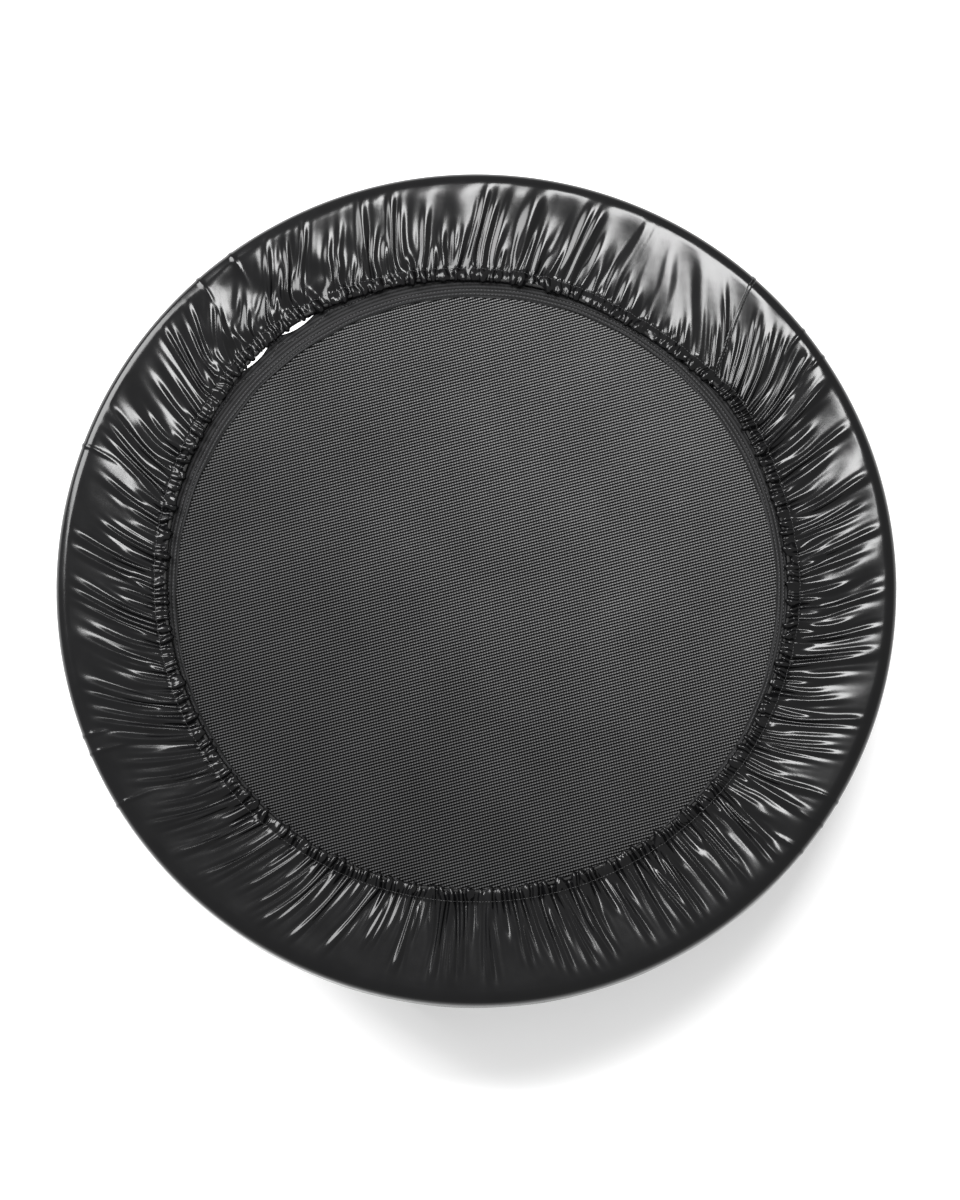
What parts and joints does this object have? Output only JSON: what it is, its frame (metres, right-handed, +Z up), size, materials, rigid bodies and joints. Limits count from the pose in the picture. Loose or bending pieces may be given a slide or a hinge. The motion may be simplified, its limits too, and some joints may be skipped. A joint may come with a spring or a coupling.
{
  "type": "mini trampoline",
  "caption": "Round mini trampoline: a woven mat sprung in a tubular steel ring on screw-in legs with rubber feet, under a gathered glossy vinyl spring cover.",
  "frame": {"origin": "on the floor, under the middle of the mat", "axes": "+Z up, +Y away from the user, +X to the user's right"},
  "size_m": [0.9662, 0.9662, 0.2301],
  "materials": {
    "frame_paint": "satin black powder coat",
    "spring_steel": "bright zinc-plated spring wire",
    "foot_rubber": "matt moulded black rubber",
    "plug_plastic": "moulded black nylon",
    "mat_weave": "dark grey twill-woven polypropylene",
    "hem_webbing": "black stitched webbing",
    "cover_vinyl": "glossy black PVC vinyl, gathered into folds",
    "elastic": "black elastic cord"
  },
  "bodies": {
    "frame": {"frame_ring": "frame_paint", "spring_01": "spring_steel", "spring_02": "spring_steel", "spring_03": "spring_steel", "spring_04": "spring_steel", "spring_05": "spring_steel", "spring_06": "spring_steel", "spring_07": "spring_steel", "spring_08": "spring_steel", "spring_09": "spring_steel", "spring_10": "spring_steel", "spring_11": "spring_steel", "spring_12": "spring_steel", "spring_13": "spring_steel", "spring_14": "spring_steel", "spring_15": "spring_steel", "spring_16": "spring_steel", "spring_17": "spring_steel", "spring_18": "spring_steel", "spring_19": "spring_steel", "spring_20": "spring_steel", "spring_21": "spring_steel", "spring_22": "spring_steel", "spring_23": "spring_steel", "spring_24": "spring_steel", "spring_25": "spring_steel", "spring_26": "spring_steel", "spring_27": "spring_steel", "spring_28": "spring_steel", "spring_29": "spring_steel", "spring_30": "spring_steel", "spring_31": "spring_steel", "spring_32": "spring_steel", "cover": "cover_vinyl", "inner_elastic": "elastic", "outer_elastic": "elastic"},
    "mat": {"mat": "mat_weave", "mat_hem": "hem_webbing"},
    "leg_1": {"leg_tube_1": "frame_paint", "leg_plug_1": "plug_plastic", "leg_foot_1": "foot_rubber"},
    "leg_2": {"leg_tube_2": "frame_paint", "leg_plug_2": "plug_plastic", "leg_foot_2": "foot_rubber"},
    "leg_3": {"leg_tube_3": "frame_paint", "leg_plug_3": "plug_plastic", "leg_foot_3": "foot_rubber"},
    "leg_4": {"leg_tube_4": "frame_paint", "leg_plug_4": "plug_plastic", "leg_foot_4": "foot_rubber"},
    "leg_5": {"leg_tube_5": "frame_paint", "leg_plug_5": "plug_plastic", "leg_foot_5": "foot_rubber"},
    "leg_6": {"leg_tube_6": "frame_paint", "leg_plug_6": "plug_plastic", "leg_foot_6": "foot_rubber"}
  },
  "joints": [
    {"name": "mat_bounce", "type": "slide", "parent": "frame", "child": "mat", "axis": [0, 0, 1], "range_m": [-0.08, 0], "stiffness_N_per_m": 16000, "deforming": ["spring_01", "spring_02", "spring_03", "spring_04", "spring_05", "spring_06", "spring_07", "spring_08", "spring_09", "spring_10", "spring_11", "spring_12", "spring_13", "spring_14", "spring_15", "spring_16", "spring_17", "spring_18", "spring_19", "spring_20", "spring_21", "spring_22", "spring_23", "spring_24", "spring_25", "spring_26", "spring_27", "spring_28", "spring_29", "spring_30", "spring_31", "spring_32"]},
    {"name": "leg_1_screw", "type": "hinge", "parent": "frame", "child": "leg_1", "pos_m": [0.43884, 0.15972, 0.187], "axis": [0, 0, -1], "range_deg": [0, 5040]},
    {"name": "leg_2_screw", "type": "hinge", "parent": "frame", "child": "leg_2", "pos_m": [0.08109, 0.45991, 0.187], "axis": [0, 0, -1], "range_deg": [0, 5040]},
    {"name": "leg_3_screw", "type": "hinge", "parent": "frame", "child": "leg_3", "pos_m": [-0.35774, 0.30018, 0.187], "axis": [0, 0, -1], "range_deg": [0, 5040]},
    {"name": "leg_4_screw", "type": "hinge", "parent": "frame", "child": "leg_4", "pos_m": [-0.43884, -0.15972, 0.187], "axis": [0, 0, -1], "range_deg": [0, 5040]},
    {"name": "leg_5_screw", "type": "hinge", "parent": "frame", "child": "leg_5", "pos_m": [-0.08109, -0.45991, 0.187], "axis": [0, 0, -1], "range_deg": [0, 5040]},
    {"name": "leg_6_screw", "type": "hinge", "parent": "frame", "child": "leg_6", "pos_m": [0.35774, -0.30018, 0.187], "axis": [0, 0, -1], "range_deg": [0, 5040]}
  ]
}
